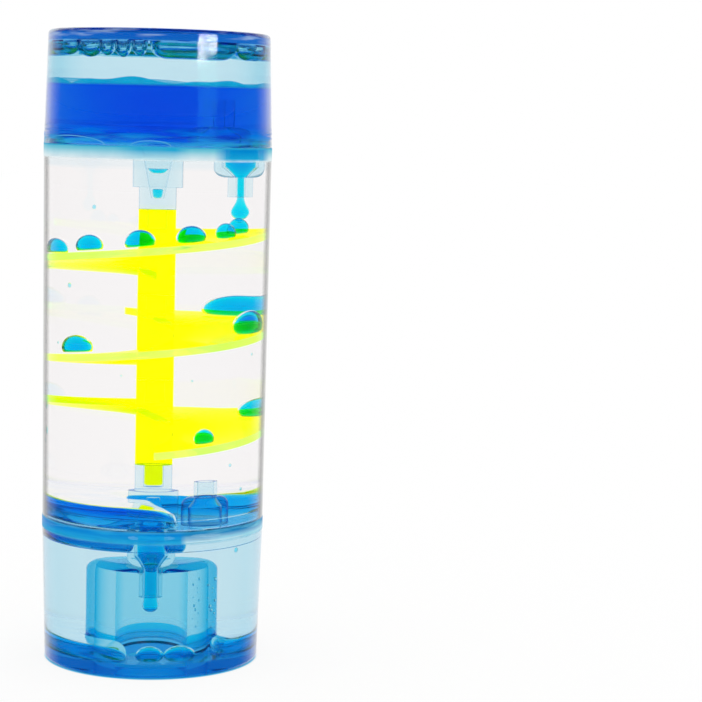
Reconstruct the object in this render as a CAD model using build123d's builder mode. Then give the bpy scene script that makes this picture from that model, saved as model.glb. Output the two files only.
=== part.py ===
from build123d import *
import math
import os

# Liquid motion timer: blue drops fall from the upper cup, run down a three-piece spiral
# inside a clear tube and gather in the lower cup. Millimetres, +Z up, the base centre is the origin.

# Tube and end cups
tube_head_radius = 26.0
tube_draft = 0.45
tube_wall = 2.15
top_cup_height = 25.8
bottom_cup_height = 30.7
cup_draft = 0.8
cup_wall = 2.3
lid_thickness = 2.5
floor_thickness = 3.0
end_edge_round = 0.9

# Hollow boss in the floor of the bottom cup, with the filling hole in its roof
boss_clearance = 0.85
boss_headroom = 0.4
boss_wall = 1.9
boss_edge_round = 2.6
filler_hole_radius = 2.2
plug_head_radius = 4.0
plug_head_thickness = 1.4
plug_fit = 0.05

# Partitions between the tube and the cups
plate_thickness = 2.6
ring_height = 2.2
ring_wall = 1.4
glue_gap = 0.1

# Stepped post in the middle of each partition
collar_radius = 3.95
top_collar_height = 6.4
top_neck_height = 5.0
bottom_collar_height = 6.7
bottom_neck_height = 6.0
core_mouth_radius = 2.5
core_tip_radius = 0.95
post_end_wall = 2.5

# Drip nozzles
nozzle_inset = 10.0
bowl_radius = 4.6
bowl_wall = 1.5
top_bowl_height = 3.9
bottom_bowl_height = 6.4
bowl_round = 2.0
top_bowl_straight = 1.6
bottom_bowl_straight = 4.0
tip_radius = 2.25
top_tip_bore_radius = 0.8
bottom_tip_bore_radius = 1.5
top_tube_tip_length = 4.4
top_chamber_tip_length = 6.8
bottom_tube_tip_length = 3.4
bottom_chamber_tip_length = 7.0
nozzle_spread = 47.0
top_nozzle_angle = 0.0
bottom_nozzle_angle = -44.0

# Spiral pieces: a length of column with one helical ramp each
turn_count = 3
turn_height = 19.4
turn_twist = 90.0
column_radius = 2.95
pin_radius = 1.45
pin_length = 4.7
pin_chamfer = 0.3
pin_fit = 0.05
pin_end_gap = 0.4
ramp_lead = 13.2
ramp_sweep = 278.0
ramp_thickness = 1.6
ramp_head_drop = 4.2
ramp_start_angle = 8.0
ramp_gap = 0.3
ramp_root = 0.8

# Blue liquid
liquid_gap = 0.15
upper_pool_depth = 14.4
middle_pool_depth = 5.2
middle_pool_nose_angle = -118.0
middle_pool_sweep = 209.0
lower_pool_depth = 3.3
lower_pool_nose_angle = -125.0
lower_pool_sweep = 270.0
blob_inset = 4.65
blob_height = 3.4
blobs = ((-92.0, 5.6), (-71.0, 6.4))

# Drops on each ramp: angle, inset from the ramp's rim, width, height
ramp_drop_gap = 0.3
ramp_drops = (
    (
        (-20.0, 7.6, 4.5, 3.4),
        (-43.0, 4.6, 4.6, 3.3),
        (-68.0, 4.6, 6.2, 3.7),
        (-100.0, 4.6, 6.4, 3.8),
        (-135.0, 4.6, 6.0, 3.6),
        (-170.0, 4.6, 6.0, 3.4),
    ),
    (
        (60.0, 5.1, 7.6, 4.6),
        (-17.0, 4.6, 8.0, 5.0),
        (-145.0, 4.6, 7.2, 4.0),
    ),
    (
        (38.0, 6.1, 5.6, 4.0),
        (-57.0, 4.6, 4.4, 3.2),
    ),
)

# Drops that hang from the nozzles
upper_drop_width = 3.3
upper_drop_length = 4.9
lower_drop_width = 3.0
lower_drop_length = 3.2
drop_neck_radius = 0.75

# Levels, from the base up
top_post_height = top_collar_height + top_neck_height
bottom_post_height = bottom_collar_height + bottom_neck_height
tube_length = turn_count * turn_height + top_post_height + bottom_post_height
bottom_deck = bottom_cup_height + plate_thickness
top_deck = bottom_deck + tube_length
top_cup_foot = top_deck + plate_thickness
overall_height = top_cup_foot + top_cup_height
column_head = top_deck - top_post_height
boss_height = bottom_cup_height - bottom_bowl_height - boss_headroom

# Radii that follow from the tube
tube_foot_radius = tube_head_radius - tube_draft
tube_bore_radius = tube_foot_radius - tube_wall
top_cup_end_radius = tube_head_radius - cup_draft
bottom_cup_end_radius = tube_foot_radius - cup_draft
ramp_radius = tube_bore_radius - ramp_gap
nozzle_offset = tube_bore_radius - nozzle_inset
top_cup_mouth_bore = tube_head_radius - cup_wall
top_cup_end_bore = top_cup_end_radius - cup_wall
bottom_cup_mouth_bore = tube_foot_radius - cup_wall
bottom_cup_end_bore = bottom_cup_end_radius - cup_wall
boss_radius = nozzle_offset - tip_radius - boss_clearance
recess_radius = boss_radius - boss_wall
bowl_mouth_radius = bowl_radius - bowl_wall
pin_hole_depth = pin_length + pin_end_gap
ramp_fall = ramp_lead * ramp_sweep / 360

os.makedirs("parts", exist_ok=True)


def save(piece, name):
    """Label a finished piece and write it as its own file."""
    piece.part.label = name
    export_step(piece.part, f"parts/{name}.step")


def turned_section(points, rounds=(), plane=Plane.XZ):
    """Closed section through (radius, height) points; rounds lists (point number, radius)."""
    with BuildSketch(plane) as section:
        with BuildLine():
            Polyline(*points, close=True)
        make_face()
        for number, radius in rounds:
            fillet(section.vertices().sort_by_distance(points[number])[0], radius)
    return section.sketch


def taper(start_radius, end_radius, length, distance):
    """Radius of a straight taper at a distance from its start."""
    return start_radius + (end_radius - start_radius) * distance / length


def upright_plane(distance, angle, height):
    """Axial plane of something that stands off the main axis: local x outward, local y up."""
    turn = math.radians(angle)
    outward = Vector(math.cos(turn), math.sin(turn), 0)
    origin = outward * distance + Vector(0, 0, height)
    return Plane(origin=origin, x_dir=outward, z_dir=outward.cross(Vector(0, 0, 1)))


def nozzle_body(plane, sense, bowl_height, tip_length, spare=0.0):
    """Outer section of a drip nozzle that points along sense (+1 up, -1 down) from its plate."""
    shoulder = bowl_height + spare
    end = bowl_height + tip_length + spare
    outline = [
        (0, 0),
        (bowl_radius + spare, 0),
        (bowl_radius + spare, sense * shoulder),
        (tip_radius + spare, sense * shoulder),
        (tip_radius + spare, sense * end),
        (0, sense * end),
    ]
    return turned_section(outline, [(2, bowl_round)], plane)


def nozzle_bore(plane, sense, bowl_height, bowl_straight, tip_length, bore_radius, spare=0.0):
    """Section of the funnel and bore of a nozzle, from the far face of its plate to its end."""
    wide = bowl_mouth_radius - spare
    narrow = bore_radius - spare
    mouth = -sense * (plate_thickness + 2 * spare)
    outline = [
        (0, mouth),
        (wide, mouth),
        (wide, sense * bowl_straight),
        (narrow, sense * bowl_height),
        (narrow, sense * (bowl_height + tip_length)),
        (0, sense * (bowl_height + tip_length)),
    ]
    return turned_section(outline, plane=plane)


def post_section(sense, deck, collar_height, neck_height):
    """Stepped central post that stands on the tube side of a partition."""
    shoulder = deck + sense * collar_height
    end = shoulder + sense * neck_height
    return turned_section([
        (0, deck),
        (collar_radius, deck),
        (collar_radius, shoulder),
        (column_radius, shoulder),
        (column_radius, end),
        (0, end),
    ])


def core_section(sense, mouth, depth):
    """Tapered core hole that hollows a post from the chamber side."""
    return turned_section([
        (0, mouth),
        (core_mouth_radius, mouth),
        (core_tip_radius, mouth + sense * depth),
        (0, mouth + sense * depth),
    ])


def plate_section(sense, deck, rim_radius, chamber_bore):
    """Half section of a partition plate with its two locating rings."""
    far = deck - sense * plate_thickness
    tube_ring = tube_bore_radius - glue_gap
    chamber_ring = chamber_bore - glue_gap
    return turned_section([
        (0, deck),
        (tube_ring - ring_wall, deck),
        (tube_ring - ring_wall, deck + sense * ring_height),
        (tube_ring, deck + sense * ring_height),
        (tube_ring, deck),
        (rim_radius, deck),
        (rim_radius, far),
        (chamber_ring, far),
        (chamber_ring, far - sense * ring_height),
        (chamber_ring - ring_wall, far - sense * ring_height),
        (chamber_ring - ring_wall, far),
        (0, far),
    ])


# Clear tube
with BuildPart() as main_tube:
    revolve(turned_section([
        (tube_bore_radius, bottom_deck),
        (tube_foot_radius, bottom_deck),
        (tube_head_radius, top_deck),
        (tube_bore_radius, top_deck),
    ]), Axis.Z)
save(main_tube, "main_tube")

# Top cup with its lid
with BuildPart() as top_cup:
    lid_face = overall_height - lid_thickness
    revolve(turned_section([
        (0, overall_height),
        (top_cup_end_radius, overall_height),
        (tube_head_radius, top_cup_foot),
        (top_cup_mouth_bore, top_cup_foot),
        (top_cup_end_bore, lid_face),
        (0, lid_face),
    ], [(1, end_edge_round)]), Axis.Z)
save(top_cup, "top_cup")

# Bottom cup with the hollow boss
with BuildPart() as bottom_cup:
    recess_roof = boss_height - boss_wall
    revolve(turned_section([
        (recess_radius, 0),
        (bottom_cup_end_radius, 0),
        (tube_foot_radius, bottom_cup_height),
        (bottom_cup_mouth_bore, bottom_cup_height),
        (bottom_cup_end_bore, floor_thickness),
        (boss_radius, floor_thickness),
        (boss_radius, boss_height),
        (filler_hole_radius, boss_height),
        (filler_hole_radius, recess_roof),
        (recess_radius, recess_roof),
    ], [(1, end_edge_round), (6, boss_edge_round)]), Axis.Z)
save(bottom_cup, "bottom_cup")

# Stopper of the filling hole, pushed in from the recess
with BuildPart() as filler_plug:
    revolve(turned_section([
        (0, boss_height),
        (filler_hole_radius - plug_fit, boss_height),
        (filler_hole_radius - plug_fit, recess_roof),
        (plug_head_radius, recess_roof),
        (plug_head_radius, recess_roof - plug_head_thickness),
        (0, recess_roof - plug_head_thickness),
    ]), Axis.Z)
save(filler_plug, "filler_plug")

# Top partition: its post carries the pin of the column, its nozzles point down and up
top_ring_bore = taper(top_cup_mouth_bore, top_cup_end_bore, top_cup_height - lid_thickness, ring_height)
top_tube_nozzle = upright_plane(nozzle_offset, top_nozzle_angle, top_deck)
top_chamber_nozzle = upright_plane(nozzle_offset, top_nozzle_angle + nozzle_spread, top_cup_foot)
with BuildPart() as top_partition:
    revolve(plate_section(-1, top_deck, tube_head_radius, top_ring_bore), Axis.Z)
    revolve(post_section(-1, top_deck, top_collar_height, top_neck_height), Axis.Z)
    with BuildSketch(Plane.XY.offset(column_head)):
        Circle(pin_radius)
    extrude(amount=-pin_length)
    chamfer(top_partition.faces().sort_by(Axis.Z)[0].edges(), pin_chamfer)
    for seat, sense, length in (
        (top_tube_nozzle, -1, top_tube_tip_length),
        (top_chamber_nozzle, 1, top_chamber_tip_length),
    ):
        nozzle_axis = Axis(seat.origin, (0, 0, 1))
        revolve(nozzle_body(seat, sense, top_bowl_height, length), nozzle_axis)
        bore = nozzle_bore(seat, sense, top_bowl_height, top_bowl_straight, length, top_tip_bore_radius)
        revolve(bore, nozzle_axis, mode=Mode.SUBTRACT)
    top_core_depth = plate_thickness + top_post_height - post_end_wall
    revolve(core_section(-1, top_cup_foot, top_core_depth), Axis.Z, mode=Mode.SUBTRACT)
save(top_partition, "top_partition")

# Bottom partition: the same plate turned over, with a socket in its post
bottom_ring_bore = taper(
    bottom_cup_mouth_bore, bottom_cup_end_bore, bottom_cup_height - floor_thickness, ring_height
)
bottom_tube_nozzle = upright_plane(nozzle_offset, bottom_nozzle_angle, bottom_deck)
bottom_chamber_nozzle = upright_plane(nozzle_offset, bottom_nozzle_angle - nozzle_spread, bottom_cup_height)
with BuildPart() as bottom_partition:
    revolve(plate_section(1, bottom_deck, tube_foot_radius, bottom_ring_bore), Axis.Z)
    revolve(post_section(1, bottom_deck, bottom_collar_height, bottom_neck_height), Axis.Z)
    with Locations((0, 0, bottom_deck + bottom_post_height)):
        Hole(pin_radius + pin_fit, pin_hole_depth)
    for seat, sense, length in (
        (bottom_tube_nozzle, 1, bottom_tube_tip_length),
        (bottom_chamber_nozzle, -1, bottom_chamber_tip_length),
    ):
        nozzle_axis = Axis(seat.origin, (0, 0, 1))
        revolve(nozzle_body(seat, sense, bottom_bowl_height, length), nozzle_axis)
        bore = nozzle_bore(
            seat, sense, bottom_bowl_height, bottom_bowl_straight, length, bottom_tip_bore_radius
        )
        revolve(bore, nozzle_axis, mode=Mode.SUBTRACT)
    bottom_core_depth = plate_thickness + bottom_post_height - pin_hole_depth - post_end_wall
    revolve(core_section(1, bottom_cup_height, bottom_core_depth), Axis.Z, mode=Mode.SUBTRACT)
save(bottom_partition, "bottom_partition")

# Spiral piece: the ramp rises anticlockwise from its foot, a screw motion of one flat section
ramp_head_height = turn_height - ramp_head_drop
ramp_foot_height = ramp_head_height - ramp_fall
ramp_root_radius = column_radius - ramp_root
with BuildPart() as spiral_turn:
    with BuildSketch(Plane.XY):
        Circle(column_radius)
    extrude(amount=turn_height)
    with BuildLine(Plane.XY.offset(ramp_foot_height)):
        Helix(ramp_lead, ramp_fall, ramp_radius)
    with BuildSketch(Plane.XZ):
        with Locations(((ramp_root_radius + ramp_radius) / 2, ramp_foot_height - ramp_thickness / 2)):
            Rectangle(ramp_radius - ramp_root_radius, ramp_thickness)
    sweep(is_frenet=True)
    with Locations((0, 0, turn_height)):
        Hole(pin_radius + pin_fit, pin_hole_depth)
    with BuildSketch(Plane.XY):
        Circle(pin_radius)
    extrude(amount=-pin_length)
    chamfer(spiral_turn.faces().sort_by(Axis.Z)[0].edges(), pin_chamfer)

# Three of them stand on each other, each a quarter turn on from the one above
for turn in range(turn_count):
    seat = Location(
        (0, 0, column_head - (turn + 1) * turn_height),
        (0, 0, ramp_start_angle + turn * turn_twist - ramp_sweep),
    )
    with BuildPart() as placed_turn:
        with Locations(seat):
            add(spiral_turn.part)
    save(placed_turn, f"spiral_turn_{turn + 1}")


def ramp_plane(turn, angle, distance):
    """Plane square to a ramp at one place: local x outward, local y along the ramp's normal."""
    around = math.radians(angle)
    outward = Vector(math.cos(around), math.sin(around), 0)
    along = Vector(-math.sin(around), math.cos(around), ramp_lead / (2 * math.pi * distance)).normalized()
    past_start = ramp_start_angle + (turn - 1) * turn_twist - angle
    height = column_head - (turn - 1) * turn_height - ramp_head_drop - ramp_lead * past_start / 360
    normal = outward.cross(along)
    origin = outward * distance + Vector(0, 0, height) + normal * ramp_drop_gap
    return Plane(origin=origin, x_dir=outward, z_dir=-along)


def sitting_drop(plane, width, height):
    """Section of a drop that sits on a plane: a ball cut flat where it wets the plane."""
    ball = width / 2
    middle = height - ball
    foot_angle = -math.degrees(math.asin(middle / ball))
    with BuildSketch(plane) as section:
        with BuildLine():
            skin = CenterArc((0, middle), ball, foot_angle, 90 - foot_angle)
            Polyline(skin @ 1, (0, 0), skin @ 0)
        make_face()
    return section.sketch


def hanging_drop(plane, width, length):
    """Section of a drop that hangs from a nozzle end, with its neck at the plane's origin."""
    ball = width / 2
    with BuildSketch(plane) as section:
        with BuildLine():
            skin = CenterArc((0, ball - length), ball, 0, -90)
            Polyline(skin @ 1, (0, 0), (drop_neck_radius, 0), skin @ 0)
        make_face()
    return section.sketch


# Blue liquid in the top cup, reaching down through the nozzle that drips
upper_pool_foot = top_cup_foot + liquid_gap
upper_pool_head = top_cup_foot + upper_pool_depth
top_cup_hollow = top_cup_height - lid_thickness
upper_ring_inside = top_ring_bore - glue_gap - ring_wall - liquid_gap
upper_ring_head = top_cup_foot + ring_height + liquid_gap
upper_wall_low = taper(top_cup_mouth_bore, top_cup_end_bore, top_cup_hollow, ring_height) - liquid_gap
upper_wall_high = taper(top_cup_mouth_bore, top_cup_end_bore, top_cup_hollow, upper_pool_depth) - liquid_gap
with BuildPart() as upper_blue_pool:
    revolve(turned_section([
        (0, upper_pool_foot),
        (upper_ring_inside, upper_pool_foot),
        (upper_ring_inside, upper_ring_head),
        (upper_wall_low, upper_ring_head),
        (upper_wall_high, upper_pool_head),
        (0, upper_pool_head),
    ]), Axis.Z)
    revolve(
        nozzle_body(top_chamber_nozzle, 1, top_bowl_height, top_chamber_tip_length, liquid_gap),
        Axis(top_chamber_nozzle.origin, (0, 0, 1)),
        mode=Mode.SUBTRACT,
    )
    thread = nozzle_bore(
        top_tube_nozzle,
        -1,
        top_bowl_height,
        top_bowl_straight,
        top_tube_tip_length,
        top_tip_bore_radius,
        liquid_gap,
    )
    revolve(thread, Axis(top_tube_nozzle.origin, (0, 0, 1)))
save(upper_blue_pool, "upper_blue_pool")

# Blue liquid on the bottom partition, over its ring to the tube wall, open towards the nozzle that stands up
middle_pool_inside = collar_radius + liquid_gap
ring_inside = tube_bore_radius - glue_gap - ring_wall - liquid_gap
middle_pool_foot = bottom_deck + liquid_gap
middle_pool_head = middle_pool_foot + middle_pool_depth
ring_head = bottom_deck + ring_height + liquid_gap
with BuildPart() as middle_blue_pool:
    for foot, outside in ((middle_pool_foot, ring_inside), (ring_head, tube_bore_radius - liquid_gap)):
        with BuildSketch(Plane.XY.offset(foot)):
            SlotArc(
                CenterArc(
                    (0, 0),
                    (middle_pool_inside + outside) / 2,
                    middle_pool_nose_angle - middle_pool_sweep,
                    middle_pool_sweep,
                ),
                outside - middle_pool_inside,
            )
        extrude(amount=middle_pool_head - foot)
    thread = nozzle_bore(
        bottom_chamber_nozzle,
        -1,
        bottom_bowl_height,
        bottom_bowl_straight,
        bottom_chamber_tip_length,
        bottom_tip_bore_radius,
        liquid_gap,
    )
    revolve(thread, Axis(bottom_chamber_nozzle.origin, (0, 0, 1)))
    revolve(
        nozzle_body(bottom_tube_nozzle, 1, bottom_bowl_height, bottom_tube_tip_length, liquid_gap),
        Axis(bottom_tube_nozzle.origin, (0, 0, 1)),
        mode=Mode.SUBTRACT,
    )
save(middle_blue_pool, "middle_blue_pool")

# Blue liquid round the boss in the bottom cup, with two drops that have not joined it yet
lower_pool_foot = floor_thickness + liquid_gap
lower_pool_inside = boss_radius + liquid_gap
lower_pool_outside = bottom_cup_end_bore - liquid_gap
lower_pool_middle = (lower_pool_inside + lower_pool_outside) / 2
with BuildPart() as lower_blue_pool:
    with BuildSketch(Plane.XY.offset(lower_pool_foot)):
        SlotArc(
            CenterArc(
                (0, 0),
                lower_pool_middle,
                lower_pool_nose_angle - lower_pool_sweep,
                lower_pool_sweep,
            ),
            lower_pool_outside - lower_pool_inside,
        )
    extrude(amount=lower_pool_depth)
    for blob_angle, blob_width in blobs:
        blob_seat = upright_plane(bottom_cup_end_bore - blob_inset, blob_angle, lower_pool_foot)
        revolve(sitting_drop(blob_seat, blob_width, blob_height), Axis(blob_seat.origin, (0, 0, 1)))
save(lower_blue_pool, "lower_blue_pool")

# Drop that leaves the top nozzle
upper_drop_seat = upright_plane(
    nozzle_offset, top_nozzle_angle, top_deck - top_bowl_height - top_tube_tip_length - ramp_drop_gap
)
with BuildPart() as upper_drop:
    revolve(
        hanging_drop(upper_drop_seat, upper_drop_width, upper_drop_length),
        Axis(upper_drop_seat.origin, (0, 0, 1)),
    )
save(upper_drop, "upper_drop")

# Drop that leaves the bottom nozzle
lower_drop_seat = upright_plane(
    nozzle_offset,
    bottom_nozzle_angle - nozzle_spread,
    bottom_cup_height - bottom_bowl_height - bottom_chamber_tip_length - ramp_drop_gap,
)
with BuildPart() as lower_drop:
    revolve(
        hanging_drop(lower_drop_seat, lower_drop_width, lower_drop_length),
        Axis(lower_drop_seat.origin, (0, 0, 1)),
    )
save(lower_drop, "lower_drop")

# Drops on their way down the ramps
for turn, drops in enumerate(ramp_drops, start=1):
    with BuildPart() as drops_on_ramp:
        for angle, inset, width, height in drops:
            seat = ramp_plane(turn, angle, ramp_radius - inset)
            revolve(sitting_drop(seat, width, height), Axis(seat.origin, seat.y_dir))
    save(drops_on_ramp, f"ramp_{turn}_drops")
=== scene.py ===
import math

import bmesh
import bpy
from mathutils import Matrix, Vector


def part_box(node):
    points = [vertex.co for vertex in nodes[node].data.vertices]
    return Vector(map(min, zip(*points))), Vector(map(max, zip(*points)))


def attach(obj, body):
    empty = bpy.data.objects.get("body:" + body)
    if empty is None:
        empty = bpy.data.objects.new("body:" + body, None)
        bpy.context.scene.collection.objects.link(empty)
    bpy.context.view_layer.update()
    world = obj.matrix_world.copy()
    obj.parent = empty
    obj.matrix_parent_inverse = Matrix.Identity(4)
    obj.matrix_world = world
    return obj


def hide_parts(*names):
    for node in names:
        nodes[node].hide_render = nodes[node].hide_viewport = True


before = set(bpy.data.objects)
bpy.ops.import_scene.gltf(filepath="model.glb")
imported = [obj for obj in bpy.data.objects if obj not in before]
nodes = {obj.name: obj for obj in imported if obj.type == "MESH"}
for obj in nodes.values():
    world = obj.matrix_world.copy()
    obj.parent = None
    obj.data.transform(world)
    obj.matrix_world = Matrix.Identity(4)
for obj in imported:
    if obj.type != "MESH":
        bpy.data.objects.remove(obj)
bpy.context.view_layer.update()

MM = 0.001
UP = Vector((0, 0, 1))

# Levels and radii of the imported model
tube_low, tube_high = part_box("main_tube")
top_cup_low, top_cup_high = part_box("top_cup")
bottom_cup_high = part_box("bottom_cup")[1]
plug_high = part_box("filler_plug")[1]
TUBE_FOOT = tube_low.z
TUBE_HEAD = tube_high.z
TOP_CUP_FOOT = top_cup_low.z
HEIGHT = top_cup_high.z
BOTTOM_CUP_HEAD = bottom_cup_high.z
HEAD_RADIUS = tube_high.x
FOOT_RADIUS = bottom_cup_high.x
BOSS_HEAD = plug_high.z
PLATE = TUBE_FOOT - BOTTOM_CUP_HEAD

# Level and colour of the line at each glued joint: the lines glow, partly the glue's own colour and partly a
# painted highlight on the joint's edge
GLUE_LINE_GLOWS = (
    (BOTTOM_CUP_HEAD, (0.1, 0.46, 0.68)),
    (TUBE_FOOT, (0.06, 0.38, 0.66)),
    (TUBE_HEAD, (0.75, 0.86, 0.88)),
    (TOP_CUP_FOOT, (0.02, 0.38, 0.63)),
)

# Sizes that the boxes do not give
BORE_RADIUS = 23.4 * MM
TUBE_WALL = 2.15 * MM
CUP_WALL = 2.3 * MM
CUP_DRAFT = 0.8 * MM
LID = 2.5 * MM
FLOOR = 3.0 * MM
BOSS_RADIUS = 10.3 * MM
BOSS_WALL = 1.9 * MM
RAMP_RADIUS = 23.1 * MM
RAMP_LEAD = 13.2 * MM
RING_HEIGHT = 2.2 * MM
RING_WALL = 1.5 * MM
RING_INSIDE = 20.5 * MM
COLLAR_RADIUS = 3.95 * MM
LIQUID_GAP = 0.15 * MM

# Limits that tell the faces of a piece apart: the middle of the tube's wall, the outside, the skin of a
# glued end, and how upright the normal of a level face is
TUBE_MIDDLE = BORE_RADIUS + TUBE_WALL / 2
OUTSIDE = FOOT_RADIUS - 0.6 * MM
END_SKIN = 0.05 * MM
LEVEL_FACE = 0.7

# Optics: the oil has index 1.46, the plastic 1.55, and the blue liquid 1.34
PLASTIC_IN_AIR = 1.55
PLASTIC_IN_OIL = 1.06
YELLOW_IN_OIL = 1.03
BLUE_IN_OIL = 0.918
AIR_IN_OIL = 0.685
GLUED = 1.0

# Gloss of clear plastic: weak where it faces the viewer, stronger where it turns away
FACE_GLOSS = 0.1
EDGE_GLOSS = 1.3
EDGE_GLOSS_FROM = 0.5
EDGE_GLOSS_TO = 0.72
SHINE_ROUGHNESS = 0.03
MOULD_ROUGHNESS = 0.02
MOULD_WAVE = 0.02 * MM

# Glue lines that glow, partly the glue's colour and partly painted highlight, and streaks of painted light
LINE_CORE = 0.12 * MM
LINE_FADE = 0.4 * MM
STREAK_LENGTH = 9 * MM
STREAK_FLATTENING = (1, 1, 9)
STREAK_CONTRAST = 0.24
STREAKS_FADE_IN = 0.6 * MM
STREAKS_FADE_OUT = 2 * MM

# Colour of the glow painted on the pool's thin edge
POOL_EDGE_GLOW = (0.005, 0.41, 0.68)


class Material:
    """A node material under construction."""

    def __init__(self, name):
        self.material = bpy.data.materials.new(name)
        self.material.use_nodes = True
        self.tree = self.material.node_tree
        self.tree.nodes.clear()
        self.output = self.tree.nodes.new("ShaderNodeOutputMaterial")
        place = self.node("TexCoord")
        self.position = place.outputs["Object"]
        flat = self.node("VectorMath", {0: self.position, 1: (1, 1, 0)}, operation="MULTIPLY")
        length = self.node("VectorMath", {0: flat.outputs["Vector"]}, operation="LENGTH")
        self.radius = length.outputs["Value"]
        sides = self.node("SeparateXYZ", {"Vector": self.position}).outputs
        self.z = sides["Z"]
        self.angle = self.math("ARCTAN2", sides["Y"], sides["X"])
        tilt = self.node("SeparateXYZ", {"Vector": place.outputs["Normal"]})
        self.level = self.math("ABSOLUTE", tilt.outputs["Z"])

    def join(self, value, socket):
        """Link a node's output to the socket, or set the socket to a value."""
        if isinstance(value, bpy.types.NodeSocket):
            self.tree.links.new(value, socket)
        else:
            socket.default_value = value

    def node(self, kind, inputs=None, **settings):
        """New node with these settings and inputs."""
        made = self.tree.nodes.new("ShaderNode" + kind)
        for name, value in settings.items():
            setattr(made, name, value)
        for name, value in (inputs or {}).items():
            self.join(value, made.inputs[name])
        return made

    def math(self, operation, first, second=0.0):
        return self.node("Math", {0: first, 1: second}, operation=operation).outputs["Value"]

    def above(self, value, limit):
        """1 where the value is over the limit, 0 elsewhere."""
        return self.math("GREATER_THAN", value, limit)

    def below(self, value, limit):
        """1 where the value is under the limit, 0 elsewhere."""
        return self.math("LESS_THAN", value, limit)

    def all_of(self, *tests):
        """Product of the tests."""
        kept = tests[0]
        for test in tests[1:]:
            kept = self.math("MULTIPLY", kept, test)
        return kept

    def any_of(self, *tests):
        """Largest of the tests."""
        kept = tests[0]
        for test in tests[1:]:
            kept = self.math("MAXIMUM", kept, test)
        return kept

    def ramp(self, value, low, high, start=0.0, end=1.0):
        """Value mapped from low..high to start..end, held beyond."""
        return self.node("MapRange", {0: value, 1: low, 2: high, 3: start, 4: end}).outputs["Result"]

    def pick(self, share, first, second):
        """Number that goes from first to second."""
        mix = self.node("Mix", {"Factor": share}, data_type="FLOAT")
        self.join(first, mix.inputs["A"])
        self.join(second, mix.inputs["B"])
        return mix.outputs["Result"]

    def blend(self, share, first, second):
        """Colour that goes from first to second."""
        mix = self.node("MixRGB")
        for socket, value in zip(mix.inputs, (share, first, second)):
            self.join((*value, 1) if isinstance(value, tuple) else value, socket)
        return mix.outputs["Color"]

    def layer(self, share, first, second):
        """Surface that goes from the first shader to the second."""
        return self.node("MixShader", {0: share, 1: first, 2: second}).outputs["Shader"]

    def noise(self, size, detail=3.0):
        """Noise of 0 to 1 with features of about that size."""
        inputs = {"Vector": self.position, "Scale": 1 / size, "Detail": detail}
        return self.node("TexNoise", inputs).outputs["Fac"]

    def bump(self, height, distance):
        return self.node("Bump", {"Height": height, "Distance": distance}).outputs["Normal"]

    def surface(self, socket):
        self.tree.links.new(socket, self.output.inputs["Surface"])

    def paint_glow(self, share, colour):
        """Mix a share of even, painted light of that colour over the surface: a glow that no lamp casts."""
        under = self.output.inputs["Surface"].links[0].from_socket
        colour = (*colour, 1) if isinstance(colour, tuple) else colour
        over = self.node("Emission", {"Color": colour, "Strength": 1.0}).outputs["Emission"]
        self.surface(self.layer(share, under, over))

    def absorb(self, transmitted, length):
        """Volume that lets these shares of red, green and blue through that length."""
        loss = [-math.log(share) / length for share in transmitted]
        density = max(loss)
        colour = [1 - part / density for part in loss]
        volume = self.node("VolumeAbsorption", {"Color": (*colour, 1), "Density": density})
        self.tree.links.new(volume.outputs["Volume"], self.output.inputs["Volume"])


def edge_shaded_tint(m, clear, edge, start=0.6, end=0.95):
    """Colour of clear plastic with painted shade: it gets deeper where the surface turns away."""
    facing = m.node("LayerWeight", {"Blend": 0.5}).outputs["Facing"]
    return m.blend(m.ramp(facing, start, end), clear, edge)


def clear_plastic(m, ior, tint):
    """Clear moulded plastic: refracts on the way in with a weak gloss, stronger at its edges, and is full
    glass from inside."""
    rough = m.ramp(m.noise(6 * MM), 0.45, 0.8, 0.0, MOULD_ROUGHNESS)
    normal = m.bump(m.noise(9 * MM, 1.0), MOULD_WAVE)
    enter = m.node("BsdfRefraction", {"Color": tint, "Roughness": rough, "IOR": ior, "Normal": normal})
    shine = m.node("BsdfGlossy", {"Color": (1, 1, 1, 1), "Roughness": SHINE_ROUGHNESS, "Normal": normal})
    facing = m.node("LayerWeight", {"Blend": 0.5}).outputs["Facing"]
    fresnel = m.node("Fresnel", {"IOR": ior, "Normal": normal}).outputs["Fac"]
    gloss = m.ramp(facing, EDGE_GLOSS_FROM, EDGE_GLOSS_TO, FACE_GLOSS, EDGE_GLOSS)
    share = m.math("MULTIPLY", fresnel, gloss)
    leave = m.node("BsdfGlass", {"Color": tint, "Roughness": rough, "IOR": ior, "Normal": normal})
    front = m.layer(share, enter.outputs["BSDF"], shine.outputs["BSDF"])
    m.surface(m.layer(m.node("NewGeometry").outputs["Backfacing"], front, leave.outputs["BSDF"]))


def joint_lines(m, strength, least=0.35):
    """Thin lines where the tube, the partitions and the cups are glued together, with fainter stretches; they
    glow, partly the glue's colour and partly a painted highlight.
    """
    broken = m.ramp(m.noise(5 * MM), 0.35, 0.6, least, 1.0)
    outside = m.above(m.radius, OUTSIDE)
    for level, colour in GLUE_LINE_GLOWS:
        distance = m.math("ABSOLUTE", m.math("SUBTRACT", m.z, level))
        line = m.ramp(distance, LINE_CORE, LINE_FADE, 1.0, 0.0)
        m.paint_glow(m.math("MULTIPLY", m.all_of(line, outside, broken), strength), colour)


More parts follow.
